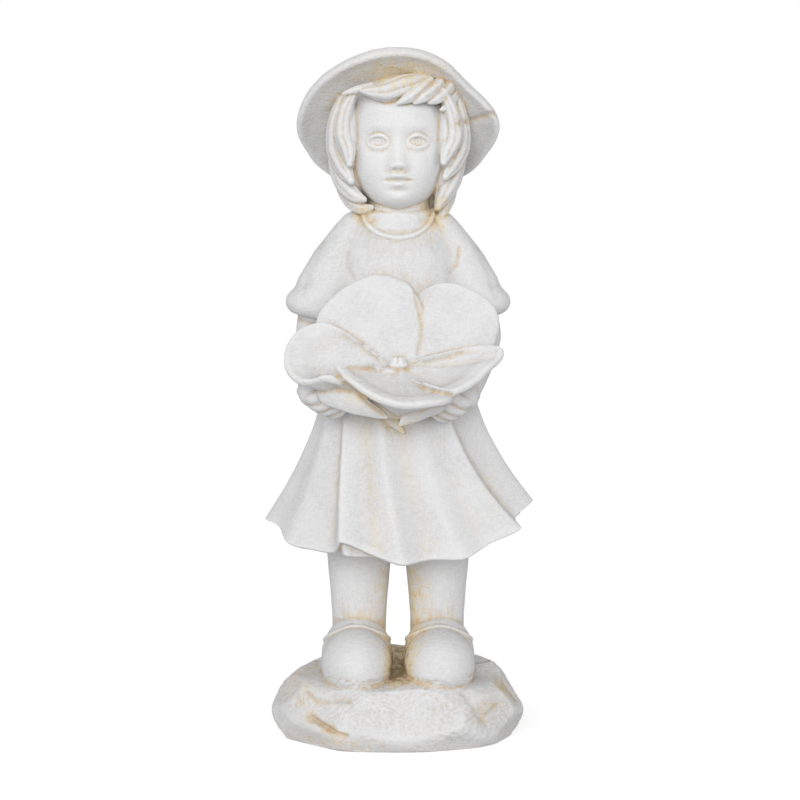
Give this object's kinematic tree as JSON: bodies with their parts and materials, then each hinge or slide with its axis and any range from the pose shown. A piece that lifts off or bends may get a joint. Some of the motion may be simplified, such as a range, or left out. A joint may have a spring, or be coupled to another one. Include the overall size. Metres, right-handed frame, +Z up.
{
  "type": "girl statue",
  "caption": "Garden statue of a standing girl in a sun hat and short flared dress, holding a wide open flower in both hands, cast in one piece with her rock.",
  "frame": {"origin": "on the ground under the middle of the rock's flat underside", "axes": "+Z up, +Y away from the viewer who faces the girl, +X to that viewer's right; she looks along -Y"},
  "size_m": [0.2012, 0.1939, 0.5223],
  "materials": {
    "cast_stone": null
  },
  "bodies": {
    "root": {"girl_statue": "cast_stone"}
  },
  "joints": []
}
